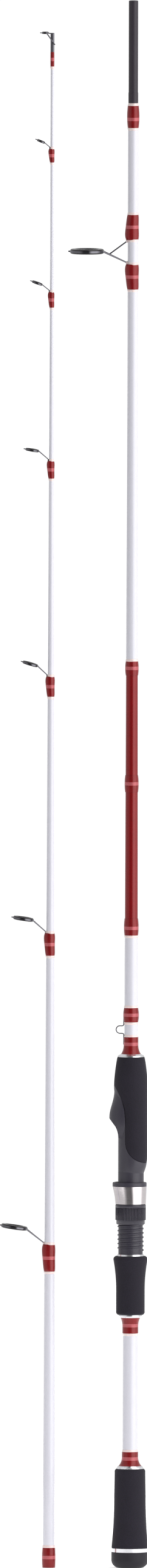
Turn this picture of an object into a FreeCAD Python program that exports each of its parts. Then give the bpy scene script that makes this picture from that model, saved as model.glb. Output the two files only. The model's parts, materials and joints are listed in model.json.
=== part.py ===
"""Two-piece spinning rod, taken apart: the butt section and the tip section stand side by side.

Millimetres. The butt section's axis is the Z axis, with the butt cap's end face at z = 0 and the tip
upwards. The line guides and the reel seat's hoods point towards -X.
"""
import FreeCAD, Part
import math
import os
from collections import namedtuple

V = FreeCAD.Vector
UP = V(0, 0, 1)

# ---- the two sections -------------------------------------------------------------------------
BUTT_LENGTH = 1093.0          # butt cap's end face to the top of the male ferrule
TIP_LENGTH = 1069.3           # socket's end to the blank's top, inside the tip-top
SECTION_SPACING = 56.5        # axis to axis, as the sections stand side by side
FERRULE_SHOWN = 73.0          # bare male ferrule above the butt section's paint
FERRULE_ENGAGED = 64.0        # straight length that goes into the socket
FERRULE_R = 3.3
FERRULE_SHOULDER_R = FERRULE_R + 0.15     # foot of the male ferrule, just above the paint
SOCKET_CLEARANCE = 0.03
SOCKET_BORE_R = FERRULE_R + SOCKET_CLEARANCE
SOCKET_WALL = 0.97
SOCKET_DEPTH = 66.0

# ---- blanks: outer radii along each taper, and walls ------------------------------------------
BUTT_R = 5.4
KEEPER_R = 4.6                # at the hook keeper
PAINT_TOP_R = FERRULE_R + 0.32            # at the top of the paint
STRIPPER_R = PAINT_TOP_R + 0.05           # where the nearly parallel length under it starts
KEEPER_STATION = 420.0
STRIPPER_ZONE = 182.0
BUTT_WALL = 1.3
KEEPER_WALL = 1.19
STRIPPER_WALL = 0.95
FERRULE_WALL = 1.0
BLANK_INSET = 3.0             # the blank stops this far above the butt cap's end face
SOCKET_R = SOCKET_BORE_R + SOCKET_WALL
TIP_R = 1.17
TIP_PARALLEL = 146.0
TIP_WALL = 0.9
TIP_TOP_WALL = 0.72

# ---- handle, from the butt upwards ------------------------------------------------------------
CAP_LENGTH = 11.2
CAP_R = 12.9
CAP_ROUND_WIDTH = 6.0
CAP_ROUND_HEIGHT = 5.2
BUTT_RING_LENGTH = 2.6
REAR_GRIP_LENGTH = 55.4
REAR_GRIP_WAIST_R = 11.0
REAR_GRIP_TOP_R = 10.7
REAR_GRIP_FLARE = 35.0        # length over which it swells to the butt ring
CHECK_LENGTH = 1.9
REAR_CHECK_R = 9.2
REAR_WRAP_LENGTH = 10.0
SPLIT_LENGTH = 82.3           # bare blank between the two grips
LOWER_WRAP_LENGTH = 11.2
LOWER_CHECK_R = 8.1
LOWER_GRIP_LENGTH = 41.1
LOWER_GRIP_R = 10.0
LOWER_GRIP_FLARE = 24.0
GRIP_ROUND = 2.4
TRIM_RING_LENGTH = 1.9
TRIM_RING_SEAT = 0.8          # how deep the trim ring sits in the lower grip's top
CHECK_SLOPE = 0.8             # how much a winding check narrows towards its whipping

# ---- reel seat, heights above the lower grip's top --------------------------------------------
BARREL_R = 9.13
THREAD_ROOT_R = BARREL_R - 0.63
SEAT_WALL = 1.5
SEAT_BORE_R = THREAD_ROOT_R - SEAT_WALL
SEAT_CORE_R = SEAT_BORE_R + 1.0           # tube inside the fore grip
THREAD_PITCH = 3.0
THREAD_START = 4.0
THREAD_TURNS = 12
THREAD_BASE = 1.7
THREAD_CREST = 0.7
BARREL_BED = BARREL_R - 0.38  # flat bed for the reel's foot, distance from the axis
TRIM_RING_R = THREAD_ROOT_R + 0.7
LOWER_GRIP_TOP_R = TRIM_RING_R + 2.8
SLIDE_CLEARANCE = 0.25        # of the hood and the nut round the barrel, and between them
BORE_R = BARREL_R + SLIDE_CLEARANCE
NUT_HEIGHT = 22.0             # lock nut's lower face, at rest
NUT_LENGTH = 14.0
NUT_R = BORE_R + 1.22
NUT_RIBS = 60
NUT_RIB_DEPTH = 0.3
NUT_RIM_LENGTH = 2.1
NUT_COLLAR_R = BORE_R + 0.57
NUT_COLLAR_LENGTH = 3.0
HOOD_LENGTH = 12.2            # steel shell of the movable hood
HOOD_LIP = 2.9
HOOD_WALL = 0.7
HOOD_LOW_R = BORE_R + 1.27
HOOD_FRONT = BORE_R + 3.27    # reach of the movable hood's mouth on the foot side
HOOD_BACK = BORE_R + 1.77
HOOD_SIDE = BORE_R + 1.97
HOOD_RISE = 5.0               # travel towards the fixed hood
POCKET_WALL = 1.6             # shell and insert round the movable hood's pocket
POCKET_FLOOR = 4.0
POCKET_INSET = 0.2            # the pocket's round part stays this far inside the bore
PALM_R = BARREL_R + 2.77
PALM_SINK = 0.4               # the palm starts this far inside the barrel's surface
PALM_LAP = 1.6                # the barrel runs this far up into the palm
PALM_BACK = 9.2               # length over which the seat's back swells to the palm
NOSE_HEIGHT = 97.0            # lowest point of the fixed hood's nose
NOSE_WALL = 1.7
POCKET_ROOM = 4.55            # from the bed to the fixed hood's inner wall
NOSE_REACH = BARREL_BED + POCKET_ROOM + NOSE_WALL
NOSE_SIDE = BARREL_R + 0.57
NOSE_SHIFT = 4.0              # the fixed hood's oval is centred this far in front of the axis
NOSE_TAPER = 2.2              # the hood's sides run in by this much at the mouth's foot
NOSE_RISE = 22.8              # nose to where the hood runs into the fore grip
MOUTH_DROP = 6.5              # steep part of the mouth below the nose
MOUTH_LENGTH = 14.6
FIXED_POCKET = 8.5            # pocket above the nose
TONGUE_HEIGHT = 65.1          # lowest point of the fore grip's tongue
TONGUE_R = 15.0
PARTING_X = -4.0              # straight run of the line between seat and fore grip
FORE_TOP_HEIGHT = 138.8
FORE_TOP_R = PALM_R - 2.5
FORE_SHOULDER = 18.5          # length over which the fore grip narrows to its top
SEAT_CORE_SHORT = 14.0        # the seat's core stops this far below the fore grip's top
ARBOR_LENGTH = 28.0
ARBOR_INSET = 3.0
FORE_CHECK_LENGTH = 2.0
FORE_CHECK_R = FORE_TOP_R - 0.34
FORE_CHECK_TOP_R = FORE_CHECK_R - 2.16
FORE_WRAP_LENGTH = 12.0

# ---- whippings --------------------------------------------------------------------------------
WRAP_T = 0.45                 # thread and resin over the blank
WRAP_END_T = 0.2
FLARE_LENGTH = 6.0
FLARE_GAP = 0.35              # a flared whipping ends this much inside its check's edge
TRIM_WRAP_LENGTHS = (12.1, 11.9, 10.2)
TRIM_WRAP_RISES = (50.0, 150.1, 231.5)     # above the keeper's upper whipping
TRIM_WRAP_NAMES = ("trim_wrap_lower", "trim_wrap_middle", "trim_wrap_upper")
TRIM_CROWN = 0.62
FERRULE_WRAP_LENGTH = 16.1
FERRULE_CROWN = 0.72
SOCKET_WRAP_LENGTH = 14.3
SOCKET_CROWN = 0.55
KEEPER_GAP = 9.9              # bare blank between the keeper's two whippings
KEEPER_WRAP_LENGTH = 10.5
KEEPER_WIRE_R = 0.35
KEEPER_LIFT = 0.02            # the lower foot's end stands this far off the blank
KEEPER_REACH = 10.75
KEEPER_LOOP_R = 2.6
KEEPER_BEND_R = 1.2
KEEPER_FOOT = 5.5

# ---- line guides ------------------------------------------------------------------------------
HOOP_T = 0.4                  # metal hoop round each ceramic ring
HOOP_SHARE = 0.42             # hoop's height over the ring's height
RING_BORE_SHARE = 0.64        # ceramic ring's bore over the hoop's diameter
RING_ROUND_SHARE = 0.3
LUG_LENGTH = 1.1
FOOT_LIFT = 0.25              # the wire's bend stands this far off the blank
FOOT_SINK_SHARE = 0.3         # the foot's flat top lies this share of the wire below its crest
FOOT_END_T = 0.2
FOOT_SHARE = 0.82             # foot's length over its whipping's
BEND_TO_WRAP = 1.2
LEG_BEND_R = 1.0
STRIPPER_LEG_ANGLE = 22.0
STRIPPER_UPPER_RISE = 6.9     # ring to the upper foot's bend
STRIPPER_FORK = 5.0           # the upper leg leaves the lower legs this far outside the hoop

Guide = namedtuple("Guide", "name height reach hoop_d tilt ring_h wire_r leg_angle drop wrap")

STRIPPER = Guide("stripper_guide", BUTT_LENGTH - 175.0, 32.0, 24.2, 0.0, 3.4, 0.5,
                 STRIPPER_LEG_ANGLE, 7.7, 17.8)
TIP_GUIDES = (
    Guide("guide_7", TIP_LENGTH - 831.8, 24.6, 19.0, 8.0, 2.8, 0.42, 30.0, 10.8, 19.2),
    Guide("guide_6", TIP_LENGTH - 616.8, 18.8, 14.9, 8.0, 2.5, 0.38, 28.0, 8.8, 15.9),
    Guide("guide_5", TIP_LENGTH - 439.1, 14.4, 11.7, 16.0, 2.1, 0.36, 22.0, 7.5, 14.3),
    Guide("guide_4", TIP_LENGTH - 290.0, 13.4, 10.2, 9.0, 1.9, 0.34, 18.0, 6.3, 12.5),
    Guide("guide_3", TIP_LENGTH - 173.5, 10.2, 8.3, 19.0, 1.7, 0.32, 16.0, 5.0, 11.1),
    Guide("guide_2", TIP_LENGTH - 74.7, 7.8, 6.5, 22.0, 1.5, 0.30, 14.0, 3.9, 9.8),
)

TIP_TUBE_R = TIP_R + 0.19
TIP_TUBE_LENGTH = 13.3
TIP_TUBE_CAP = 1.0
TIP_RING_REACH = 5.0
TIP_RING_D = 5.3
TIP_RING_H = 1.5
TIP_WIRE_R = 0.36
TIP_BRACE_DROP = 8.2
TIP_WRAP_LENGTH = 10.5

# ---- heights that follow from the sizes above -------------------------------------------------
REAR_GRIP_Z = CAP_LENGTH + BUTT_RING_LENGTH
REAR_CHECK_Z = REAR_GRIP_Z + REAR_GRIP_LENGTH
REAR_WRAP_Z = REAR_CHECK_Z + CHECK_LENGTH
LOWER_WRAP_Z = REAR_WRAP_Z + REAR_WRAP_LENGTH + SPLIT_LENGTH
LOWER_CHECK_Z = LOWER_WRAP_Z + LOWER_WRAP_LENGTH
LOWER_GRIP_Z = LOWER_CHECK_Z + CHECK_LENGTH
SEAT_Z = LOWER_GRIP_Z + LOWER_GRIP_LENGTH
NUT_Z = SEAT_Z + NUT_HEIGHT
HOOD_Z = NUT_Z + NUT_LENGTH + SLIDE_CLEARANCE
HOOD_LIP_Z = HOOD_Z + HOOD_LENGTH
HOOD_TOP_Z = HOOD_LIP_Z + HOOD_LIP
PALM_Z = HOOD_TOP_Z + HOOD_RISE + 2 * SLIDE_CLEARANCE
TONGUE_Z = SEAT_Z + TONGUE_HEIGHT
NOSE_Z = SEAT_Z + NOSE_HEIGHT
FORE_CHECK_Z = SEAT_Z + FORE_TOP_HEIGHT
SEAT_CORE_TOP_Z = FORE_CHECK_Z - SEAT_CORE_SHORT
FORE_WRAP_Z = FORE_CHECK_Z + FORE_CHECK_LENGTH
KEEPER_GAP_Z = FORE_WRAP_Z + FORE_WRAP_LENGTH
KEEPER_WRAP_Z = KEEPER_GAP_Z + KEEPER_GAP
KEEPER_TOP_Z = KEEPER_WRAP_Z + KEEPER_WRAP_LENGTH
PAINT_TOP_Z = BUTT_LENGTH - FERRULE_SHOWN

BUTT_TAPER = (
    (0.0, BUTT_R),
    (KEEPER_STATION, KEEPER_R),
    (PAINT_TOP_Z - STRIPPER_ZONE, STRIPPER_R),
    (PAINT_TOP_Z, PAINT_TOP_R),
)
TIP_TAPER = (
    (0.0, SOCKET_R),
    (TIP_LENGTH - TIP_PARALLEL, TIP_R),
    (TIP_LENGTH, TIP_R),
)


# ---- outlines ---------------------------------------------------------------------------------
def along(taper, z):
    """Radius of a taper at a height; it runs straight on past its last station."""
    for (z0, r0), (z1, r1) in zip(taper, taper[1:]):
        if z <= z1 or z1 == taper[-1][0]:
            return r0 + (r1 - r0) * (z - z0) / (z1 - z0)


def outline(*steps):
    """Closed wire in the XZ plane. A step is a point (x, z), or (through, end) for an arc."""
    edges = []
    here = steps[0]
    for step in steps[1:] + (steps[0],):
        if isinstance(step[0], tuple):
            through, end = step
            edges.append(Part.Arc(flat(here), flat(through), flat(end)).toShape())
        else:
            end = step
            if end != here:
                edges.append(Part.makeLine(flat(here), flat(end)))
        here = end
    return Part.Wire(edges)


def flat(point):
    return V(point[0], 0, point[1])


def lathe(*steps):
    """Solid turned about the Z axis from an outline of (radius, height) steps."""
    return Part.Face(outline(*steps)).revolve(V(), UP, 360)


def slab(half_width, *steps):
    """Outline in the XZ plane, extruded the same distance each way along Y."""
    face = Part.Face(outline(*steps))
    face.translate(V(0, -half_width, 0))
    return face.extrude(V(0, 2 * half_width, 0))


def tube(outer_r, inner_r, z0, z1):
    return lathe((inner_r, z0), (outer_r, z0), (outer_r, z1), (inner_r, z1))


def quarter(start, end, bulge):
    """Arc step from start to end that swells towards the corner point named bulge."""
    share = 1 - math.sqrt(0.5)
    middle = tuple(bulge[i] + share * (start[i] + end[i] - 2 * bulge[i]) for i in (0, 1))
    return middle, end


def flare(start, end, vertical_first=True):
    """Arc step from start to end that is parallel to the axis at its narrow end."""
    narrow, wide = (start, end) if vertical_first else (end, start)
    dx = wide[0] - narrow[0]
    dz = wide[1] - narrow[1]
    radius = (dx * dx + dz * dz) / (2 * abs(dx))
    half = math.atan2(abs(dz), radius - abs(dx)) / 2
    x = narrow[0] + math.copysign(radius * (1 - math.cos(half)), dx)
    z = narrow[1] + math.copysign(radius * math.sin(half), dz)
    return (x, z), end


def oval(z, front, back, side):
    """Closed oval across the axis, with its own reach to -X, to +X and to each side."""
    middle = (back - front) / 2
    reach = (back + front) / 2
    turn = 0 if reach >= side else 90
    ring = Part.Ellipse(V(), max(reach, side), min(reach, side)).toShape()
    ring.rotate(V(), UP, turn)
    ring.translate(V(middle, 0, z))
    return Part.Wire(ring)


def ovals(*sections):
    return Part.makeLoft([oval(*section) for section in sections], True, False)


# ---- bent wire --------------------------------------------------------------------------------
def bent_wire(points, bends, wire_r):
    """Round wire along straight runs; each inner point is rounded with its own bend radius."""
    edges = []
    here = points[0]
    for before, corner, after, bend in zip(points, points[1:], points[2:], bends):
        into = (corner - before).normalize()
        out = (after - corner).normalize()
        turn = into.getAngle(out)
        setback = bend * math.tan(turn / 2)
        start = corner - into * setback
        end = corner + out * setback
        inward = (out - into).normalize()
        through = corner + inward * (bend / math.cos(turn / 2) - bend)
        if start.distanceToPoint(here) > 1e-6:
            edges.append(Part.makeLine(here, start))
        edges.append(Part.Arc(start, through, end).toShape())
        here = end
    edges.append(Part.makeLine(here, points[-1]))
    path = Part.Wire(edges)
    heading = (points[1] - points[0]).normalize()
    section = Part.Wire(Part.makeCircle(wire_r, points[0], heading))
    return path.makePipeShell([section], True, False)


# ---- blanks -----------------------------------------------------------------------------------
def butt_core():
    """Filled outer shape of the butt section's painted blank."""
    stations = [(r, z) for z, r in BUTT_TAPER[1:]]
    start = (along(BUTT_TAPER, BLANK_INSET), BLANK_INSET)
    return lathe((0, BLANK_INSET), start, *stations, (0, PAINT_TOP_Z))


def butt_blank(core):
    shoulder_z = BUTT_LENGTH - FERRULE_ENGAGED
    edge = 0.5
    ferrule = lathe(
        (0, PAINT_TOP_Z), (FERRULE_SHOULDER_R, PAINT_TOP_Z), (FERRULE_SHOULDER_R, shoulder_z - edge),
        (FERRULE_R, shoulder_z), (FERRULE_R, BUTT_LENGTH - edge),
        quarter((FERRULE_R, BUTT_LENGTH - edge), (FERRULE_R - edge, BUTT_LENGTH),
                (FERRULE_R, BUTT_LENGTH)),
        (0, BUTT_LENGTH))
    bore = lathe((0, 0), (BUTT_R - BUTT_WALL, 0), (KEEPER_R - KEEPER_WALL, KEEPER_STATION),
                 (STRIPPER_R - STRIPPER_WALL, PAINT_TOP_Z - STRIPPER_ZONE),
                 (FERRULE_R - FERRULE_WALL, BUTT_LENGTH), (0, BUTT_LENGTH))
    return core.fuse(ferrule).cut(bore)


def tip_core():
    stations = [(r, z) for z, r in TIP_TAPER]
    return lathe((0, 0), *stations, (0, TIP_LENGTH))


def tip_blank(core):
    socket = Part.makeCylinder(SOCKET_BORE_R, SOCKET_DEPTH)
    start_r = along(TIP_TAPER, SOCKET_DEPTH) - TIP_WALL
    bore = Part.makeCone(start_r, TIP_R - TIP_TOP_WALL, TIP_LENGTH - SOCKET_DEPTH, V(0, 0, SOCKET_DEPTH))
    return core.cut(socket).cut(bore)


# ---- whippings --------------------------------------------------------------------------------
def crowned_wrap(taper, z0, length, crown):
    """Trim whipping, a little thicker in its middle than at its ends."""
    z1 = z0 + length
    r0 = along(taper, z0)
    r1 = along(taper, z1)
    middle = ((r0 + r1) / 2 + crown, (z0 + z1) / 2)
    return lathe((r0 / 2, z0), (r0 + WRAP_END_T, z0), (middle, (r1 + WRAP_END_T, z1)), (r1 / 2, z1))


def flared_wrap(taper, check_z, far_z, check_r):
    """Whipping that runs up a ramp of resin to a winding check."""
    way = math.copysign(1, far_z - check_z)
    neck_z = check_z + way * FLARE_LENGTH
    neck_r = along(taper, neck_z) + WRAP_T
    far_r = along(taper, far_z)
    wide = (check_r - FLARE_GAP, check_z)
    return lathe((far_r / 2, check_z), wide, flare(wide, (neck_r, neck_z), False),
                 (far_r + WRAP_T, far_z - way * WRAP_T), (far_r + WRAP_END_T, far_z), (far_r / 2, far_z))


def foot_wrap(taper, leg_z, far_z, rise):
    """Whipping over a guide's foot: high where the leg leaves it, level at the foot's far end."""
    shape = ((0.0, WRAP_END_T, 0.8), (0.08, WRAP_T, 1.0), (0.45, WRAP_T, 0.95),
             (0.75, WRAP_T, 0.45), (0.94, WRAP_T * 0.8, 0.1), (1.0, WRAP_END_T, 0.0))
    sections = []
    for share, thickness, lift in shape:
        z = leg_z + share * (far_z - leg_z)
        side = along(taper, z) + thickness
        sections.append((z, side + lift * rise, side, side))
    return ovals(*sections)


# ---- line guides ------------------------------------------------------------------------------
def ring_sizes(hoop_d, ring_h):
    """Ceramic ring's outer radius, bore radius and edge radius."""
    outer = hoop_d / 2 - HOOP_T
    bore = RING_BORE_SHARE * hoop_d / 2
    edge = min(RING_ROUND_SHARE * ring_h, 0.45 * (outer - bore))
    return outer, bore, edge


def ceramic_ring(hoop_d, ring_h):
    outer, bore, edge = ring_sizes(hoop_d, ring_h)
    top = ring_h / 2
    land = top - edge
    corners = ((bore, land), (bore + edge, top), (outer - edge, top), (outer, land),
               (outer, -land), (outer - edge, -top), (bore + edge, -top), (bore, -land))
    return lathe(
        corners[7], corners[0], quarter(corners[0], corners[1], (bore, top)),
        corners[2], quarter(corners[2], corners[3], (outer, top)),
        corners[4], quarter(corners[4], corners[5], (outer, -top)),
        corners[6], quarter(corners[6], corners[7], (bore, -top)))


def hoop(hoop_d, ring_h, wire_r):
    """Metal hoop with the small lug at its outer end."""
    outer = hoop_d / 2
    half = HOOP_SHARE * ring_h / 2
    band = tube(outer, outer - HOOP_T, -half, half)
    lug_r = min(wire_r, half)
    reach = outer + LUG_LENGTH - lug_r
    lug = Part.makeCylinder(lug_r, reach - outer + HOOP_T / 2, V(-reach, 0, 0), V(1, 0, 0))
    return band.fuse([lug, Part.makeSphere(lug_r, V(-reach, 0, 0))])


def set_ring(shape, reach, tilt, z):
    """Turn a part made round the origin into a ring's own plane and place."""
    shape.rotate(V(), V(0, 1, 0), tilt)
    shape.translate(V(-reach, 0, z))
    return shape


def leg_start(guide, side):
    """Point in the middle of the hoop's wall where a leg is brazed on."""
    angle = math.radians(guide.leg_angle)
    radius = guide.hoop_d / 2 - HOOP_T / 2
    tilt = math.radians(guide.tilt)
    x = radius * math.cos(angle)
    y = side * radius * math.sin(angle)
    return V(x * math.cos(tilt) - guide.reach, y, guide.height - x * math.sin(tilt))


def foot(taper, wire_r, bend_z, far_z):
    """Flat tongue on the blank, thick under the leg and ground thin at its far end."""
    way = math.copysign(1, far_z - bend_z)
    near_r = along(taper, bend_z)
    far_r = along(taper, far_z)
    near_x = near_r + FOOT_LIFT + (2 - FOOT_SINK_SHARE) * wire_r
    return slab(
        1.6 * wire_r, (-near_r / 2, bend_z), (-near_x + wire_r / 2, bend_z),
        (-near_x, bend_z + way * wire_r), (-near_x, bend_z + way * 3 * wire_r),
        (-far_r - FOOT_END_T, far_z), (-far_r / 2, far_z))


def foot_legs(guide, taper, bend_z, far_z):
    """The pair of wires from the hoop to one foot."""
    foot_x = along(taper, bend_z) + FOOT_LIFT + guide.wire_r
    way = math.copysign(1, far_z - bend_z)
    legs = []
    for side in (-1, 1):
        y = side * 0.6 * guide.wire_r
        bend = V(-foot_x, y, bend_z)
        end = V(-foot_x, y, bend_z + way * 4 * guide.wire_r)
        legs.append(bent_wire([leg_start(guide, side), bend, end], [LEG_BEND_R], guide.wire_r))
    return legs


def wrap_span(guide, bend_z, way):
    """Near and far end of the whipping that holds a foot."""
    near = bend_z + way * BEND_TO_WRAP
    return near, near + way * guide.wrap


def single_foot_guide(guide, taper, core):
    """Frame, ceramic ring and whipping of a guide with one foot below its ring."""
    bend_z = guide.height - guide.drop
    near, far = wrap_span(guide, bend_z, -1)
    foot_z = near - FOOT_SHARE * guide.wrap
    parts = foot_legs(guide, taper, bend_z, foot_z)
    parts.append(foot(taper, guide.wire_r, bend_z, foot_z).cut(core))
    band = set_ring(hoop(guide.hoop_d, guide.ring_h, guide.wire_r), guide.reach, guide.tilt, guide.height)
    ring = set_ring(ceramic_ring(guide.hoop_d, guide.ring_h), guide.reach, guide.tilt, guide.height)
    frame = band.fuse(parts).cut(ring)
    wrap = foot_wrap(taper, near, far, FOOT_LIFT + 2 * guide.wire_r)
    return {
        guide.name + "_frame": frame,
        guide.name + "_ring": ring,
        guide.name + "_wrap": wrap.cut(core).cut(frame),
    }


def stripper_guide(core):
    """Large first guide: two lower legs and one upper leg, each with its own whipped foot."""
    guide = STRIPPER
    low_z = guide.height - guide.drop
    high_z = guide.height + STRIPPER_UPPER_RISE
    low_near, low_far = wrap_span(guide, low_z, -1)
    high_near, high_far = wrap_span(guide, high_z, 1)
    low_foot_z = low_near - FOOT_SHARE * guide.wrap
    high_foot_z = high_near + FOOT_SHARE * guide.wrap
    parts = foot_legs(guide, BUTT_TAPER, low_z, low_foot_z)
    foot_x = along(BUTT_TAPER, high_z) + FOOT_LIFT + guide.wire_r
    fork = fork_point(guide, low_z)
    parts.append(bent_wire(
        [fork, V(-foot_x, 0, high_z), V(-foot_x, 0, high_z + 4 * guide.wire_r)], [LEG_BEND_R],
        guide.wire_r))
    parts.append(fork_bar(guide, low_z, fork))
    parts.append(foot(BUTT_TAPER, guide.wire_r, low_z, low_foot_z).cut(core))
    parts.append(foot(BUTT_TAPER, guide.wire_r, high_z, high_foot_z).cut(core))
    ring = set_ring(ceramic_ring(guide.hoop_d, guide.ring_h), guide.reach, guide.tilt, guide.height)
    band = set_ring(hoop(guide.hoop_d, guide.ring_h, guide.wire_r), guide.reach, guide.tilt, guide.height)
    frame = band.fuse(parts).cut(ring)
    rise = FOOT_LIFT + 2 * guide.wire_r
    low_wrap = foot_wrap(BUTT_TAPER, low_near, low_far, rise)
    high_wrap = foot_wrap(BUTT_TAPER, high_near, high_far, rise)
    return {
        "stripper_guide_frame": frame,
        "stripper_guide_ring": ring,
        "stripper_wrap_lower": low_wrap.cut(core).cut(frame),
        "stripper_wrap_upper": high_wrap.cut(core).cut(frame),
    }


def lower_leg_point(guide, low_z, side):
    """Point on a lower leg, a set distance along it from the hoop."""
    start = leg_start(guide, side)
    foot_x = along(BUTT_TAPER, low_z) + FOOT_LIFT + guide.wire_r
    end = V(-foot_x, side * 0.6 * guide.wire_r, low_z)
    return start + (end - start).normalize() * STRIPPER_FORK


def fork_point(guide, low_z):
    left = lower_leg_point(guide, low_z, -1)
    return V(left.x, 0, left.z)


def fork_bar(guide, low_z, fork):
    """Short bar across the two lower legs that carries the upper leg."""
    half = abs(lower_leg_point(guide, low_z, -1).y)
    return Part.makeCylinder(guide.wire_r, 2 * half, V(fork.x, -half, fork.z), V(0, 1, 0))


def tip_top(core):
    """Tip-top: tube over the blank, arm, hoop and the brace wire that passes behind the tube."""
    top_z = TIP_LENGTH + TIP_TUBE_CAP
    low_z = top_z - TIP_TUBE_LENGTH
    edge = 0.35
    barrel = lathe((0, low_z), (TIP_TUBE_R, low_z), (TIP_TUBE_R, top_z - edge),
                   quarter((TIP_TUBE_R, top_z - edge), (TIP_TUBE_R - edge, top_z), (TIP_TUBE_R, top_z)),
                   (0, top_z))
    ring = set_ring(ceramic_ring(TIP_RING_D, TIP_RING_H), TIP_RING_REACH, 0, top_z)
    band = set_ring(hoop(TIP_RING_D, TIP_RING_H, TIP_WIRE_R), TIP_RING_REACH, 0, top_z)
    arm_z = top_z - TIP_WIRE_R
    arm = Part.makeCylinder(TIP_WIRE_R, TIP_RING_REACH - TIP_RING_D / 2 + HOOP_T / 2,
                            V(0, 0, arm_z), V(-1, 0, 0))
    frame = barrel.fuse([band, arm, brace_wire(top_z)]).cut(ring).cut(core)
    wrap = crowned_wrap(TIP_TAPER, low_z - TIP_WRAP_LENGTH, TIP_WRAP_LENGTH, WRAP_END_T + 0.05)
    return {"tip_top_frame": frame, "tip_top_ring": ring, "tip_top_wrap": wrap.cut(core)}


def brace_wire(ring_z):
    """U-shaped wire from both sides of the tip-top's hoop down and round the back of its tube."""
    side_y = TIP_TUBE_R + TIP_WIRE_R * 0.9
    back_x = TIP_TUBE_R + TIP_WIRE_R * 0.9
    offset = TIP_RING_D * 0.15
    front_x = -TIP_RING_REACH + offset
    front_y = math.sqrt((TIP_RING_D / 2 - HOOP_T / 2) ** 2 - offset ** 2)
    low_z = ring_z - TIP_BRACE_DROP
    points = [V(front_x, -front_y, ring_z), V(back_x, -side_y, low_z),
              V(back_x, side_y, low_z), V(front_x, front_y, ring_z)]
    return bent_wire(points, [side_y * 0.8, side_y * 0.8], TIP_WIRE_R)


# ---- handle -----------------------------------------------------------------------------------
def butt_cap(core):
    start = (CAP_R - CAP_ROUND_WIDTH, 0)
    end = (CAP_R, CAP_ROUND_HEIGHT)
    cap = lathe((0, 0), start, quarter(start, end, (CAP_R, 0)), (CAP_R, CAP_LENGTH), (0, CAP_LENGTH))
    return cap.cut(core)


def rear_grip(core):
    top = REAR_CHECK_Z
    waist = (REAR_GRIP_WAIST_R, REAR_GRIP_Z + REAR_GRIP_FLARE)
    low = (CAP_R, REAR_GRIP_Z)
    shoulder = (REAR_GRIP_TOP_R, top - GRIP_ROUND)
    rim = (REAR_GRIP_TOP_R - GRIP_ROUND / 2, top)
    grip = lathe((1, REAR_GRIP_Z), low, flare(low, waist, False), shoulder,
                 quarter(shoulder, rim, (REAR_GRIP_TOP_R, top)), (1, top))
    return grip.cut(core)


def lower_grip(core):
    low = (LOWER_GRIP_R - GRIP_ROUND / 2, LOWER_GRIP_Z)
    side = (LOWER_GRIP_R, LOWER_GRIP_Z + GRIP_ROUND)
    swell = (LOWER_GRIP_TOP_R, SEAT_Z - GRIP_ROUND)
    waist = (LOWER_GRIP_R, SEAT_Z - GRIP_ROUND - LOWER_GRIP_FLARE + GRIP_ROUND)
    rim = (LOWER_GRIP_TOP_R - GRIP_ROUND, SEAT_Z)
    grip = lathe((1, LOWER_GRIP_Z), low, quarter(low, side, (LOWER_GRIP_R, LOWER_GRIP_Z)),
                 waist, flare(waist, swell), quarter(swell, rim, (LOWER_GRIP_TOP_R, SEAT_Z)), (1, SEAT_Z))
    seat = tube(TRIM_RING_R, 0.5, SEAT_Z - TRIM_RING_SEAT, SEAT_Z)
    return grip.cut(seat).cut(core)


def winding_check(core, wide_z, narrow_z, wide_r, narrow_r):
    """Metal collar between a grip and its whipping: a short rim, then a cone."""
    rim_z = wide_z + (narrow_z - wide_z) * 0.45
    collar = lathe((1, wide_z), (wide_r, wide_z), (wide_r, rim_z), (narrow_r, narrow_z), (1, narrow_z))
    return collar.cut(core)


def reel_seat_barrel():
    """Threaded barrel and the core tube that runs up inside the fore grip."""
    thread_z = SEAT_Z + THREAD_START
    thread_top = thread_z + THREAD_TURNS * THREAD_PITCH
    low_z = SEAT_Z - TRIM_RING_SEAT
    body = lathe((0, low_z), (THREAD_ROOT_R, low_z), (THREAD_ROOT_R, thread_top), (BARREL_R, thread_top),
                 (BARREL_R, PALM_Z + PALM_LAP), (SEAT_CORE_R, PALM_Z + PALM_LAP),
                 (SEAT_CORE_R, SEAT_CORE_TOP_Z),
                 (0, SEAT_CORE_TOP_Z))
    return body.fuse(thread_ridge(thread_z))


def thread_ridge(z0):
    """Helical ridge of the coarse thread, sunk a little into the barrel."""
    sink = 0.15
    helix = Part.makeHelix(THREAD_PITCH, THREAD_TURNS * THREAD_PITCH, THREAD_ROOT_R)
    corners = ((THREAD_ROOT_R - sink, -THREAD_BASE / 2), (BARREL_R, -THREAD_CREST / 2),
               (BARREL_R, THREAD_CREST / 2), (THREAD_ROOT_R - sink, THREAD_BASE / 2))
    ridge = Part.Wire(helix).makePipeShell([outline(*corners)], True, True)
    ridge.translate(V(0, 0, z0))
    return ridge


def palm():
    """Outer shape shared by the seat's back and the fore grip."""
    neck = FORE_CHECK_Z - FORE_SHOULDER
    swell = PALM_Z + PALM_BACK
    inner = BARREL_R - 0.13
    lift = NOSE_Z + FIXED_POCKET
    return ovals(
        (PALM_Z, inner - PALM_SINK, BARREL_R - PALM_SINK, BARREL_R - PALM_SINK),
        (PALM_Z + PALM_BACK * 0.5, inner, BARREL_R + 1.3, BARREL_R + 0.7),
        (swell + 2, inner, PALM_R - 0.3, BARREL_R + 1.5),
        (swell + 14, inner, PALM_R, PALM_R - 1.0),
        (lift - 4, inner + 0.1, PALM_R, PALM_R - 0.5),
        (lift + 9, PALM_R - 0.3, PALM_R, PALM_R - 0.1),
        (neck, PALM_R - 0.1, PALM_R - 0.1, PALM_R - 0.1),
        (neck + FORE_SHOULDER * 0.4, PALM_R - 0.7, PALM_R - 0.7, PALM_R - 0.7),
        (FORE_CHECK_Z - 6.0, PALM_R - 1.35, PALM_R - 1.35, PALM_R - 1.35),
        (FORE_CHECK_Z - 2.0, PALM_R - 2.0, PALM_R - 2.0, PALM_R - 2.0),
        (FORE_CHECK_Z, FORE_TOP_R, FORE_TOP_R, FORE_TOP_R))


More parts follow.
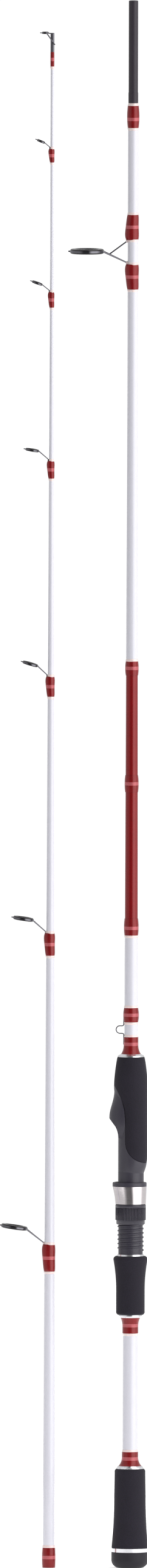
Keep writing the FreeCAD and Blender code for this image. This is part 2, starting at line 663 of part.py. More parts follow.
def foam_side():
    """Space on the fore grip's side of the parting line."""
    far = 3 * PALM_R
    bend = (PARTING_X, NOSE_Z - 3)
    front = (-PALM_R - 0.7, NOSE_Z + NOSE_RISE + 0.5)
    low = (PARTING_X, TONGUE_Z + TONGUE_R)
    tip = (PARTING_X + TONGUE_R, TONGUE_Z)
    return slab(far, low, bend, flare(bend, front), (-far, front[1]), (-far, FORE_CHECK_Z + 1),
                (far, FORE_CHECK_Z + 1), (far, TONGUE_Z), tip, quarter(tip, low, (PARTING_X, TONGUE_Z)))


def fixed_hood():
    """Hood that takes the front end of the reel's foot, before its mouth and pocket are cut."""
    back = NOSE_SIDE - NOSE_SHIFT
    return ovals(
        (NOSE_Z - MOUTH_LENGTH, NOSE_REACH, back, NOSE_SIDE - NOSE_TAPER),
        (NOSE_Z - MOUTH_LENGTH / 2, NOSE_REACH, back, NOSE_SIDE - NOSE_TAPER * 0.3),
        (NOSE_Z - 1, NOSE_REACH, back, NOSE_SIDE),
        (NOSE_Z + 2.5, NOSE_REACH - 0.2, back, NOSE_SIDE),
        (NOSE_Z + 10, NOSE_REACH - 2.1, back, NOSE_SIDE),
        (NOSE_Z + 15.5, NOSE_REACH - 3.25, back, NOSE_SIDE - 0.4),
        (NOSE_Z + NOSE_RISE, PALM_R - 0.15, back, NOSE_SIDE - 0.9))


def hood_mouth():
    """Space below the fixed hood's nose and in front of the flat bed."""
    far = 3 * PALM_R
    edge = (-NOSE_REACH - 1, NOSE_Z + 0.2)
    knee = (-NOSE_REACH + 4.2, NOSE_Z - MOUTH_DROP)
    bed = (-BARREL_BED, NOSE_Z - MOUTH_LENGTH)
    bed_low_z = SEAT_Z + THREAD_START + THREAD_TURNS * THREAD_PITCH + THREAD_PITCH
    return slab(far, edge, knee, flare(knee, bed, False), (-BARREL_BED, bed_low_z),
                (-far, bed_low_z), (-far, edge[1]))


def fixed_pocket():
    """Room for the front end of the reel's foot, between the bed and the hood's inner wall."""
    front = NOSE_REACH - NOSE_WALL
    side = NOSE_SIDE - NOSE_WALL
    back = side - NOSE_SHIFT
    low_side = side - NOSE_TAPER
    room = ovals((NOSE_Z - MOUTH_LENGTH, front, back, low_side),
                 (NOSE_Z - MOUTH_LENGTH / 2, front, back, side - NOSE_TAPER * 0.3),
                 (NOSE_Z, front, back, side), (NOSE_Z + FIXED_POCKET, front - 0.1, back, side))
    bed = Part.makeBox(3 * PALM_R, 4 * PALM_R, 4 * PALM_R, V(-BARREL_BED, -2 * PALM_R, NOSE_Z - 2 * PALM_R))
    return room.cut(bed)


def reel_seat_and_fore_grip(core):
    """The moulded seat and the foam fore grip that meet along one parting line."""
    body = palm()
    foam = foam_side()
    barrel = reel_seat_barrel()
    hood = fixed_hood()
    seat = barrel.fuse([body.cut(foam), hood.cut(foam)]).cut(hood_mouth()).cut(fixed_pocket())
    bore = Part.makeCylinder(SEAT_BORE_R, SEAT_CORE_TOP_Z, V(0, 0, 0))
    seat = seat.cut(bore)
    grip = body.common(foam).cut(barrel).cut(hood.cut(foam)).cut(core)
    return {"reel_seat_body": seat, "fore_grip": grip}


def arbor(core, z0):
    """Sleeve that packs the seat's bore out to the blank."""
    return tube(SEAT_BORE_R, 1, z0, z0 + ARBOR_LENGTH).cut(core)


def hood_section(share, inset=0.0):
    """Section of the movable hood, from its round foot (0) to its oval mouth (1)."""
    curve = share ** 1.5
    front = HOOD_LOW_R + (HOOD_FRONT - HOOD_LOW_R) * curve
    back = HOOD_LOW_R + (HOOD_BACK - HOOD_LOW_R) * share
    side = HOOD_LOW_R + (HOOD_SIDE - HOOD_LOW_R) * share
    return HOOD_Z + share * HOOD_LENGTH, front - inset, back - inset, side - inset


def hood_shell():
    shares = (0.0, 0.35, 0.7, 1.0)
    outside = ovals(*[hood_section(share) for share in shares])
    inside = ovals(*[hood_section(share, HOOD_WALL) for share in shares])
    return outside.cut(inside)


def hood_insert():
    """Moulded sleeve inside the steel shell, with the lip and the pocket for the reel's foot."""
    shares = (0.0, 0.35, 0.7, 1.0)
    sleeve = ovals(*[hood_section(share, HOOD_WALL) for share in shares])
    edge = 0.7
    rim = HOOD_TOP_Z - edge
    lip = ovals((HOOD_LIP_Z, HOOD_FRONT, HOOD_BACK, HOOD_SIDE), (rim, HOOD_FRONT, HOOD_BACK, HOOD_SIDE))
    crest = ovals((rim, HOOD_FRONT, HOOD_BACK, HOOD_SIDE),
                  (rim + edge * 0.7, HOOD_FRONT - edge * 0.3, HOOD_BACK - edge * 0.3, HOOD_SIDE - edge * 0.3),
                  (HOOD_TOP_Z, HOOD_FRONT - edge, HOOD_BACK - edge, HOOD_SIDE - edge))
    bore = Part.makeCylinder(BORE_R, HOOD_TOP_Z - HOOD_Z + 2, V(0, 0, HOOD_Z - 1))
    inside = BORE_R - POCKET_INSET
    pocket = ovals((HOOD_Z + POCKET_FLOOR, inside, inside, inside),
                   (HOOD_LIP_Z, HOOD_FRONT - POCKET_WALL, inside, inside),
                   (HOOD_TOP_Z + 1, HOOD_FRONT - POCKET_WALL, inside, inside))
    return sleeve.fuse([lip, crest]).cut(bore).cut(pocket)


def lock_nut():
    """Nut with fine ribs round its middle and a smaller collar at its foot."""
    rim_z = NUT_Z + NUT_LENGTH - NUT_RIM_LENGTH
    collar_z = NUT_Z + NUT_COLLAR_LENGTH
    edge = 0.5
    rim = lathe((1, rim_z), (NUT_R, rim_z), (NUT_R, rim_z + NUT_RIM_LENGTH - edge),
                (NUT_R - edge, NUT_Z + NUT_LENGTH), (1, NUT_Z + NUT_LENGTH))
    collar = lathe((1, NUT_Z), (NUT_COLLAR_R - 2 * edge / 3, NUT_Z), (NUT_COLLAR_R, NUT_Z + 2 * edge),
                   (NUT_COLLAR_R, collar_z), (1, collar_z))
    step = 2 * math.pi / NUT_RIBS
    corners = []
    for rib in range(NUT_RIBS):
        for share, radius in ((-0.28, NUT_R), (0.28, NUT_R), (0.4, NUT_R - NUT_RIB_DEPTH),
                              (0.6, NUT_R - NUT_RIB_DEPTH)):
            angle = (rib + share) * step
            corners.append(V(radius * math.cos(angle), radius * math.sin(angle), collar_z))
    ribbed = Part.Face(Part.makePolygon(corners + corners[:1])).extrude(V(0, 0, rim_z - collar_z))
    bore = Part.makeCylinder(BORE_R, NUT_LENGTH + 2, V(0, 0, NUT_Z - 1))
    return ribbed.fuse([rim, collar]).cut(bore)


def hook_keeper():
    """Wire loop beside the blank, its two feet whipped down above and below it."""
    middle = KEEPER_GAP_Z + KEEPER_GAP / 2
    foot_r = along(BUTT_TAPER, KEEPER_GAP_Z - KEEPER_FOOT) + KEEPER_WIRE_R + KEEPER_LIFT
    apex = KEEPER_REACH - KEEPER_WIRE_R
    points = [V(-foot_r, 0, KEEPER_WRAP_Z + KEEPER_FOOT), V(-foot_r, 0, middle + KEEPER_LOOP_R),
              V(-apex, 0, middle + KEEPER_LOOP_R), V(-apex, 0, middle - KEEPER_LOOP_R),
              V(-foot_r, 0, middle - KEEPER_LOOP_R), V(-foot_r, 0, KEEPER_GAP_Z - KEEPER_FOOT)]
    bends = [KEEPER_BEND_R, KEEPER_LOOP_R, KEEPER_LOOP_R, KEEPER_BEND_R]
    return bent_wire(points, bends, KEEPER_WIRE_R)


def whippings(core, keeper):
    """All the whippings of the butt section that hold no line guide."""
    wraps = {
        "rear_grip_wrap": flared_wrap(BUTT_TAPER, REAR_WRAP_Z, REAR_WRAP_Z + REAR_WRAP_LENGTH,
                                      REAR_CHECK_R - CHECK_SLOPE),
        "lower_grip_wrap": flared_wrap(BUTT_TAPER, LOWER_CHECK_Z, LOWER_WRAP_Z, LOWER_CHECK_R - CHECK_SLOPE),
        "fore_grip_wrap": flared_wrap(BUTT_TAPER, FORE_WRAP_Z, KEEPER_GAP_Z, FORE_CHECK_TOP_R + FLARE_GAP),
        "hook_keeper_wrap": crowned_wrap(BUTT_TAPER, KEEPER_WRAP_Z, KEEPER_WRAP_LENGTH, TRIM_CROWN + 0.2),
        "ferrule_wrap": crowned_wrap(BUTT_TAPER, PAINT_TOP_Z - FERRULE_WRAP_LENGTH, FERRULE_WRAP_LENGTH,
                                     FERRULE_CROWN),
    }
    for name, rise, length in zip(TRIM_WRAP_NAMES, TRIM_WRAP_RISES, TRIM_WRAP_LENGTHS):
        wraps[name] = crowned_wrap(BUTT_TAPER, KEEPER_TOP_Z + rise, length, TRIM_CROWN)
    for name in wraps:
        wraps[name] = wraps[name].cut(core)
    for name in ("fore_grip_wrap", "hook_keeper_wrap"):
        wraps[name] = wraps[name].cut(keeper)
    return wraps


def handle(core):
    keeper = hook_keeper()
    parts = {
        "butt_blank": butt_blank(core),
        "butt_cap": butt_cap(core),
        "butt_ring": tube(CAP_R, 1, CAP_LENGTH, REAR_GRIP_Z).cut(core),
        "rear_grip": rear_grip(core),
        "rear_grip_check": winding_check(core, REAR_CHECK_Z, REAR_WRAP_Z, REAR_CHECK_R,
                                         REAR_CHECK_R - CHECK_SLOPE),
        "lower_grip_check": winding_check(core, LOWER_GRIP_Z, LOWER_CHECK_Z, LOWER_CHECK_R,
                                          LOWER_CHECK_R - CHECK_SLOPE),
        "lower_grip": lower_grip(core),
        "seat_trim_ring": tube(TRIM_RING_R, THREAD_ROOT_R, SEAT_Z - TRIM_RING_SEAT,
                               SEAT_Z - TRIM_RING_SEAT + TRIM_RING_LENGTH),
        "seat_arbor_lower": arbor(core, SEAT_Z + ARBOR_INSET),
        "seat_arbor_upper": arbor(core, SEAT_CORE_TOP_Z - ARBOR_INSET - ARBOR_LENGTH),
        "fore_grip_check": winding_check(core, FORE_CHECK_Z, FORE_WRAP_Z, FORE_CHECK_R, FORE_CHECK_TOP_R),
        "hook_keeper": keeper,
    }
    parts.update(reel_seat_and_fore_grip(core))
    parts.update(whippings(core, keeper))
    parts.update(stripper_guide(core))
    return parts


def movable_parts():
    return {"hood_shell": hood_shell(), "hood_insert": hood_insert(), "lock_nut": lock_nut()}


def tip_section():
    core = tip_core()
    socket_wrap = crowned_wrap(TIP_TAPER, 0, SOCKET_WRAP_LENGTH, SOCKET_CROWN)
    parts = {"tip_blank": tip_blank(core), "socket_wrap": socket_wrap.cut(core)}
    for guide in TIP_GUIDES:
        parts.update(single_foot_guide(guide, TIP_TAPER, core))
    parts.update(tip_top(core))
    for shape in parts.values():
        shape.translate(V(-SECTION_SPACING, 0, 0))
    return parts


def main():
    os.makedirs("parts", exist_ok=True)
    parts = handle(butt_core())
    parts.update(movable_parts())
    parts.update(tip_section())
    for name, shape in parts.items():
        if not shape.isValid() or not shape.Solids:
            raise ValueError(name + " is not a valid solid")
        shape.exportStep("parts/" + name + ".step")


main()
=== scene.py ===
"""Looks of a spinning rod that stands in its two sections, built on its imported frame.

Every place comes from the frame, in metres. The blanks, the whippings, the line guides, the reel seat
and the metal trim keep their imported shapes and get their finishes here. The foam grips, the lock nut,
the resin at the whippings' ends and the tape ridges on the tip section are made here.
"""

import json
import math

import bmesh
import bpy
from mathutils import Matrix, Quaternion, Vector, noise

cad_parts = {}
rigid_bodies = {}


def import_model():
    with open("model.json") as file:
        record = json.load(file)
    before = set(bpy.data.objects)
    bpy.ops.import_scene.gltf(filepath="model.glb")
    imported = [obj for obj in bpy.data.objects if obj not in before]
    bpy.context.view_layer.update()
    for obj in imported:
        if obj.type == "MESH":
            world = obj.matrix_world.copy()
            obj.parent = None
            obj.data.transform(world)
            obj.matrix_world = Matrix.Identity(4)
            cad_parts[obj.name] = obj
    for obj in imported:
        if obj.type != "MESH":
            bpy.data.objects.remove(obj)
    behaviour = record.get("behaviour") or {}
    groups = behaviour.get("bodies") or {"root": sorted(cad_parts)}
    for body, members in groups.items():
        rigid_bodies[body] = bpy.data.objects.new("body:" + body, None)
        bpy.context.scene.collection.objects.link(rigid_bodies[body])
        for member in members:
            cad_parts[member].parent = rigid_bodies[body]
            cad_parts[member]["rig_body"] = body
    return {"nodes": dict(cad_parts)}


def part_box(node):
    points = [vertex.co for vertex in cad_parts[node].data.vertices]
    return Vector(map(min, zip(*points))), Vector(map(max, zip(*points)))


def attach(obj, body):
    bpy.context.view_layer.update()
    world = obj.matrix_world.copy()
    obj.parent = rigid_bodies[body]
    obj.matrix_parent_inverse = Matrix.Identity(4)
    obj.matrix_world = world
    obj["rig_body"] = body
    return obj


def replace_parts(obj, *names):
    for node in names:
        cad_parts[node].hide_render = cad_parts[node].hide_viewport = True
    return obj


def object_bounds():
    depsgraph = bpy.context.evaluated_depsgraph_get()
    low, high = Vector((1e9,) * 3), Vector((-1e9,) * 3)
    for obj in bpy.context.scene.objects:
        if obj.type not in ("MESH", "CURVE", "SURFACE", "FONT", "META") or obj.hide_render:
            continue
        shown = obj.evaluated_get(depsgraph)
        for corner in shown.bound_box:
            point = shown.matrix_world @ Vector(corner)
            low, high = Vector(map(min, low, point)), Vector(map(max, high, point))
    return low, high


bl_info = {
    "name": "Spinning Rod",
    "version": (1, 0, 0),
    "blender": (4, 5, 0),
    "location": "3D View > Sidebar > Rod",
    "description": "Builds the finishes and fine pieces of a spinning rod on its packed frame",
    "category": "Add Mesh",
}

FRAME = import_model()
NODES = FRAME["nodes"]
CAD_LOW, CAD_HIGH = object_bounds()
MM = 0.001

BUTT = "butt_section"
TIP = "tip_section"
NUT = "lock_nut_body"


def middle(name, axis):
    """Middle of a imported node's box along one axis."""
    low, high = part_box(name)
    return (low[axis] + high[axis]) / 2


TIP_X = middle("socket_wrap", 0)
WHIPPINGS = sorted(name for name in NODES if "_wrap" in name)
WIRES = sorted(name for name in NODES if name.endswith("_frame")) + ["hook_keeper"]
TRIM_RINGS = ["butt_ring", "seat_trim_ring"]
TRIMS = TRIM_RINGS + sorted(name for name in NODES if name.endswith("_check"))
RINGS = sorted(name for name in NODES if name.endswith("_ring") and name not in TRIM_RINGS)
GRIPS = ["rear_grip", "lower_grip", "fore_grip"]

# Where a whipping's coloured band lies, as a share of its length; the others have it in the middle.
BAND_SHARES = {"ferrule_wrap": 0.39, "fore_grip_wrap": 0.57, "trim_wrap_lower": 0.44}
# The ends that show resin, where they aren't both: a check, the socket's mouth or a tube hides the
# other end, and inside the red zone the resin is under the lacquer.
COLLAR_ENDS = {"rear_grip_wrap": ("top",), "lower_grip_wrap": ("foot",), "fore_grip_wrap": ("top",),
               "socket_wrap": ("top",), "tip_top_wrap": ("foot",), "trim_wrap_lower": ("foot",),
               "trim_wrap_middle": (), "trim_wrap_upper": ("top",)}
# Resin drops where a guide's legs reach the blank: whipping, the end they leave from, and size in mm.
DROPS = (("stripper_wrap_lower", "top", 1.3), ("stripper_wrap_upper", "foot", 1.2),
         ("guide_7_wrap", "top", 1.05), ("guide_6_wrap", "top", 0.9), ("guide_5_wrap", "top", 0.7))
# A drop's three half sizes, and its place past the whipping's end and out from the blank, all as shares
# of the drop's size.
DROP_SHAPE = Vector((0.75, 1.0, 1.25))
DROP_ALONG = 0.5
DROP_OUT = 0.35
# How resin thins from a whipping's end to the blank: share of its reach, share of its height.
COLLAR_SHAPE = ((-0.3, 0.6), (0.0, 1.0), (0.25, 0.9), (0.55, 0.5), (0.85, 0.15), (1.0, 0.0))
COLLAR_SINK = 0.08 * MM
# Share of the tape ridge's radius that lies inside the blank.
TAPE_SINK = 0.55
# Where a ray that measures a blank starts: beside the blank, and just off its seam.
RAY_START = 0.02
OFF_SEAM = 1e-6
# The lock nut: its sides, how far from its two ends the ribs stop as shares of its length, how far its
# waist and collar lie inside its rim, and its eased edges.
NUT_SIDES = 120
NUT_RIB_START = 0.22
NUT_RIB_END = 0.16
NUT_WAIST_DEPTH = 0.4 * MM
NUT_COLLAR_DEPTH = 0.65 * MM
NUT_EASE = 0.4 * MM

# Brightness of the room that the object reflects, by degrees to the right of the camera: a bright
# strip to the right, dimness round the camera, and an even, pale room at the left and behind.
ROOM = ((-180, 0.8), (-100, 0.8), (-50, 0.75), (-25, 0.16), (12, 0.14), (32, 2.5), (70, 2.5), (95, 0.9),
        (180, 0.8))
ROOM_PEAK = max(brightness for _, brightness in ROOM)
# What the camera sees behind the object: a little over white, so that it comes out white.
BACKDROP = 1.05
# Metres from the object's middle, and how much higher than it the lamps stand for each metre away.
CAMERA_DISTANCE = 4.0
LAMP_DISTANCE = 1.3
LAMP_RISE = 0.12

WHITE = (1.0, 1.0, 1.0, 1.0)
# Painted shade: the darkest that the thread's colour gets in the grooves between two turns of thread.
GROOVE_PAINTED_SHADE = (0.6, 0.6, 0.6, 1.0)


def linear(red, green, blue):
    """Scene-linear colour from everyday values of 0 to 255."""
    shares = (red / 255, green / 255, blue / 255)
    return tuple(c / 12.92 if c <= 0.04045 else ((c + 0.055) / 1.055) ** 2.4 for c in shares)


def colour_property(label, note, default):
    return bpy.props.FloatVectorProperty(
        name=label, description=note, subtype="COLOR", size=3, min=0.0, max=1.0, default=default)


def length_property(label, note, millimetres):
    return bpy.props.FloatProperty(
        name=label, description=note, unit="LENGTH", subtype="DISTANCE", min=0.0, precision=5,
        default=millimetres * MM)


class RodFinish(bpy.types.PropertyGroup):
    """Colours of the rod's finishes."""

    lacquer: colour_property("Lacquer", "Pearl lacquer on both blanks", linear(208, 207, 216))
    red: colour_property("Red lacquer", "Candy red zone above the handle", linear(124, 5, 12))
    carbon: colour_property("Bare carbon", "Male ferrule and cut ends", linear(52, 47, 54))
    thread: colour_property("Thread", "Metallic thread of the whippings", linear(132, 6, 14))
    band: colour_property("Band", "Decorative band in each whipping", linear(190, 92, 98))
    resin: colour_property("Resin", "Clear resin at the whippings' ends", linear(226, 206, 204))
    foam: colour_property("Foam", "Grips", linear(33, 30, 39))
    rubber: colour_property("Rubber", "Butt cap", linear(30, 27, 35))
    plastic: colour_property("Seat plastic", "Reel seat, hood insert and nut", linear(47, 44, 55))
    steel: colour_property("Steel", "Shell of the movable hood", linear(212, 206, 208))
    chrome: colour_property("Wire", "Frames of the guides and hook keeper", linear(104, 103, 109))
    ceramic: colour_property("Ceramic", "Rings of the guides", linear(28, 26, 29))
    trim: colour_property("Trim", "Winding checks and rings", linear(222, 222, 226))
    arbor: colour_property("Arbor", "Sleeves inside the seat", linear(190, 180, 160))


class RodDetail(bpy.types.PropertyGroup):
    """Sizes of the fine pieces."""

    thread_pitch: length_property("Thread pitch", "From one turn of thread to the next", 0.22)
    band_width: length_property("Band width", "Width of each decorative band", 2.3)
    collar_reach: length_property("Resin reach", "How far resin runs past a whipping", 1.5)
    collar_height: length_property("Resin height", "How proud the resin stands", 0.34)
    foam_voxel: length_property("Foam mesh", "Edge length of the grips' mesh", 0.55)
    foam_pore: length_property("Foam pores", "Depth of the foam's open cells", 0.07)
    foam_cell: length_property("Foam cells", "Size of the foam's cells", 1.1)
    nut_ribs: bpy.props.IntProperty(name="Nut ribs", description="Ribs round the lock nut", min=8,
                                    default=60)
    rib_radius: length_property("Rib radius", "Radius of one rib", 0.36)
    tape_start: length_property("Tape start", "Height where the tape ridges begin", 18.5)
    tape_length: length_property("Tape length", "Height that the tape ridges cover", 48.0)
    tape_turns: bpy.props.IntProperty(name="Tape turns", description="Turns of the tape ridge", min=1,
                                      default=26)
    tape_ridge: length_property("Tape ridge", "Radius of the tape's ridge", 0.11)


class RodStudio(bpy.types.PropertyGroup):
    """Light and camera."""

    elevation: bpy.props.FloatProperty(
        name="Camera height", description="Angle above the horizon", unit="ROTATION", subtype="ANGLE",
        default=math.radians(3.5))
    lean: bpy.props.FloatProperty(name="Camera lean", description="Turn about the line of sight",
                                  unit="ROTATION", subtype="ANGLE", default=math.radians(0.14))
    aside: length_property("Camera aside", "How far the camera stands left of the object's middle", 1.2)
    margin: length_property("Top margin", "Room above the object in the frame", 0.5)
    key: bpy.props.FloatProperty(name="Key light", description="Strip on the right", subtype="POWER",
                                 min=0.0, default=1.5)
    fill: bpy.props.FloatProperty(name="Fill light", description="Broad light on the left",
                                  subtype="POWER", min=0.0, default=1.0)
    room: bpy.props.FloatProperty(name="Room light", description="Brightness of the whole room",
                                  min=0.0, default=1.0)
    floor_size: bpy.props.FloatProperty(
        name="Floor size", unit="LENGTH", subtype="DISTANCE", min=0.1, default=1.6,
        description="Side of the pale floor, small enough that the object mirrors the room")
    paper: bpy.props.FloatProperty(name="Paper glow", description="Evenness of the pale floor", min=0.0,
                                   default=0.5)


# ---- shader building ---------------------------------------------------------------------------
def add_node(tree, kind, inputs=None, **settings):
    """New node, its settings, and its inputs as values or as sockets to link from."""
    made = tree.nodes.new(kind)
    for name, value in settings.items():
        setattr(made, name, value)
    for key, value in (inputs or {}).items():
        if isinstance(value, bpy.types.NodeSocket):
            tree.links.new(value, made.inputs[key])
        else:
            made.inputs[key].default_value = value
    return made


def arithmetic(tree, operation, first, second=0.0):
    return add_node(tree, "ShaderNodeMath", {0: first, 1: second}, operation=operation).outputs[0]


def mixed(tree, mask, first, second):
    """Colour that goes from the first to the second as the mask rises."""
    return add_node(tree, "ShaderNodeMix", {0: mask, 6: first, 7: second}, data_type="RGBA").outputs[2]


def between(tree, mask, first, second):
    """Number that goes from the first to the second as the mask rises."""
    return add_node(tree, "ShaderNodeMix", {0: mask, 2: first, 3: second}, data_type="FLOAT").outputs[0]


def ramped(tree, value, low, high, start, end, kind="LINEAR"):
    return add_node(tree, "ShaderNodeMapRange",
                    {"Value": value, "From Min": low, "From Max": high, "To Min": start, "To Max": end},
                    interpolation_type=kind).outputs[0]


def object_place(tree):
    return add_node(tree, "ShaderNodeTexCoord").outputs["Object"]


def new_group(name, inputs, outputs):
    """Empty shader group with its named sockets, and its input and output nodes."""
    group = bpy.data.node_groups.new(name, "ShaderNodeTree")
    for label, kind in inputs:
        group.interface.new_socket(label, in_out="INPUT", socket_type="NodeSocket" + kind)
    for label, kind in outputs:
        group.interface.new_socket(label, in_out="OUTPUT", socket_type="NodeSocket" + kind)
    return group, group.nodes.new("NodeGroupInput").outputs, group.nodes.new("NodeGroupOutput")


def grain_group():
    """Fine unevenness: a mask of two sizes of noise, for colour, gloss and height."""
    group, given, result = new_group("Grain", (("Scale", "Float"), ("Coarse share", "Float")),
                                     (("Mask", "Float"),))
    place = object_place(group)
    fine = add_node(group, "ShaderNodeTexNoise", {"Vector": place, "Scale": given["Scale"], "Detail": 3.0})
    coarse_scale = arithmetic(group, "MULTIPLY", given["Scale"], 0.08)
    coarse = add_node(group, "ShaderNodeTexNoise", {"Vector": place, "Scale": coarse_scale, "Detail": 2.0})
    both = between(group, given["Coarse share"], fine.outputs[0], coarse.outputs[0])
    group.links.new(ramped(group, both, 0.3, 0.7, 0.0, 1.0), result.inputs[0])
    return group


def zone_group():
    """Mask of a stretch along the section, with a soft edge at both ends."""
    group, given, result = new_group("Zone", (("Low", "Float"), ("High", "Float"), ("Edge", "Float")),
                                     (("Mask", "Float"),))
    height = add_node(group, "ShaderNodeSeparateXYZ", {0: object_place(group)}).outputs["Z"]
    low_end = arithmetic(group, "ADD", given["Low"], given["Edge"])
    high_end = arithmetic(group, "ADD", given["High"], given["Edge"])
    rise = ramped(group, height, given["Low"], low_end, 0.0, 1.0, "SMOOTHSTEP")
    fall = ramped(group, height, given["High"], high_end, 1.0, 0.0, "SMOOTHSTEP")
    group.links.new(arithmetic(group, "MULTIPLY", rise, fall), result.inputs[0])
    return group


def winding_group():
    """Height of thread wound round a section, one rounded rib for each turn."""
    group, given, result = new_group("Winding", (("Pitch", "Float"),), (("Height", "Float"),))
    height = add_node(group, "ShaderNodeSeparateXYZ", {0: object_place(group)}).outputs["Z"]
    turns = arithmetic(group, "DIVIDE", height, given["Pitch"])
    wave = arithmetic(group, "SINE", arithmetic(group, "MULTIPLY", turns, math.pi))
    group.links.new(arithmetic(group, "ABSOLUTE", wave), result.inputs[0])
    return group


def shared_group(name, build):
    """Group by name, built the first time that a material asks for it."""
    return bpy.data.node_groups.get(name) or build()


def place_group(tree, name, build, **values):
    made = tree.nodes.new("ShaderNodeGroup")
    made.node_tree = shared_group(name, build)
    for label, value in values.items():
        made.inputs[label.replace("_", " ")].default_value = value
    return made.outputs[0]


def shade(colour, share):
    """Colour made darker or lighter, as a value with alpha."""
    return tuple(min(1.0, c * share) for c in colour) + (1.0,)


def new_material(name, **sockets):
    """Material with its Principled shader's own sockets set."""
    material = bpy.data.materials.new(name)
    material.use_nodes = True
    shader = material.node_tree.nodes["Principled BSDF"]
    for label, value in sockets.items():
        shader.inputs[label.replace("_", " ")].default_value = value
    return material, material.node_tree, shader


def link_bump(tree, shader, height, millimetres):
    bump = add_node(tree, "ShaderNodeBump", {"Height": height, "Distance": millimetres * MM,
                                             "Strength": 1.0})
    tree.links.new(bump.outputs[0], shader.inputs["Normal"])


def grained(name, colour, gloss, spread, scale, bump, **sockets):
    """Material whose colour, roughness and height follow one grain.

    Gloss is its smoothest and roughest, spread the share that its colour varies by, bump is in mm.
    """
    material, tree, shader = new_material(name, **sockets)
    mask = place_group(tree, "Grain", grain_group, Scale=scale, Coarse_share=0.35)
    tree.links.new(mixed(tree, mask, shade(colour, 1 - spread), shade(colour, 1 + spread)),
                   shader.inputs["Base Color"])
    tree.links.new(ramped(tree, mask, 0.0, 1.0, *gloss), shader.inputs["Roughness"])
    link_bump(tree, shader, mask, bump)
    return material


def give(names, material):
    for name in names:
        data = NODES[name].data
        data.materials.clear()
        data.materials.append(material)


# ---- mesh building -----------------------------------------------------------------------------
def ring_of(build, profile, centre_x, around=64):
    """Adds a closed profile of (radius, height) turned round an upright axis."""
    rows = []
    for step in range(around):
        angle = 2 * math.pi * step / around
        turn = (math.cos(angle), math.sin(angle))
        rows.append([build.verts.new((centre_x + r * turn[0], r * turn[1], z)) for r, z in profile])
    for step, row in enumerate(rows):
        after = rows[(step + 1) % around]
        for i in range(len(profile)):
            j = (i + 1) % len(profile)
            build.faces.new((row[i], after[i], after[j], row[j]))


def drop_of(build, centre, size):
    """Adds a rounded drop, stretched along the blank."""
    made = bmesh.ops.create_uvsphere(build, u_segments=20, v_segments=12, radius=1.0)
    for vert in made["verts"]:
        vert.co = Vector((vert.co.x * size.x, vert.co.y * size.y, vert.co.z * size.z)) + centre


def mesh_of(build, name):
    """Plain mesh of a bmesh, which is then freed."""
    mesh = bpy.data.meshes.new(name)
    build.to_mesh(mesh)
    build.free()
    return mesh


def link_object(name, data):
    made = bpy.data.objects.new(name, data)
    bpy.context.scene.collection.objects.link(made)
    return made


def finish_piece(name, build, body, material):
    """Object from a finished bmesh, smooth, riding on its body."""
    bmesh.ops.recalc_face_normals(build, faces=build.faces)
    return place_piece(name, mesh_of(build, name), body, material)


def place_piece(name, mesh, body, material):
    mesh.name = name
    mesh.materials.clear()
    mesh.materials.append(material)
    mesh.polygons.foreach_set("use_smooth", [True] * len(mesh.polygons))
    piece = link_object(name, mesh)
    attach(piece, body)
    return piece


def evaluated_mesh(source):
    """Plain mesh of an object with its modifiers applied; the object is then removed."""
    depsgraph = bpy.context.evaluated_depsgraph_get()
    mesh = bpy.data.meshes.new_from_object(source.evaluated_get(depsgraph), depsgraph=depsgraph)
    bpy.data.objects.remove(source)
    return mesh


def blank_radius(name, z):
    """Outer radius of a blank at a height, where a ray from its side meets it."""
    centre = TIP_X if name == "tip_blank" else 0.0
    start = Vector((centre + RAY_START, OFF_SEAM, z))
    found, place, _, _ = NODES[name].ray_cast(start, Vector((-1, 0, 0)))
    if not found:
        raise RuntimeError(f"no surface of {name} at height {z}")
    return place.x - centre


def section_of(whipping):
    """Body, blank and axis place of the section that a whipping is on."""
    if NODES[whipping]["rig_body"] == TIP:
        return TIP, "tip_blank", TIP_X
    return BUTT, "butt_blank", 0.0


def new_tree(name, sockets):
    """Geometry node tree with a geometry input and output and its named inputs."""
    tree = bpy.data.node_groups.new(name, "GeometryNodeTree")
    tree.interface.new_socket("Geometry", in_out="INPUT", socket_type="NodeSocketGeometry")
    tree.interface.new_socket("Geometry", in_out="OUTPUT", socket_type="NodeSocketGeometry")
    for label, kind in sockets:
        tree.interface.new_socket(label, in_out="INPUT", socket_type="NodeSocket" + kind)
    return tree, tree.nodes.new("NodeGroupInput").outputs


def end_tree(tree, geometry, material):
    """Ends a tree in real, smooth geometry with its material."""
    real = add_node(tree, "GeometryNodeRealizeInstances", {0: geometry})
    smooth = add_node(tree, "GeometryNodeSetShadeSmooth", {"Geometry": real.outputs[0]})
    dressed = add_node(tree, "GeometryNodeSetMaterial", {"Geometry": smooth.outputs[0],
                                                         "Material": material})
    result = tree.nodes.new("NodeGroupOutput")
    tree.links.new(dressed.outputs[0], result.inputs[0])


def run_tree(tree, base, values):
    """Mesh that a tree makes from a base mesh and its named inputs."""
    holder = link_object(tree.name, base)
    modifier = holder.modifiers.new(tree.name, "NODES")
    modifier.node_group = tree
    for item in tree.interface.items_tree:
        if item.in_out == "INPUT" and item.name in values:
            modifier[item.identifier] = values[item.name]
    return evaluated_mesh(holder)


def upright(tree, height):
    return add_node(tree, "ShaderNodeCombineXYZ", {"Z": height}).outputs[0]


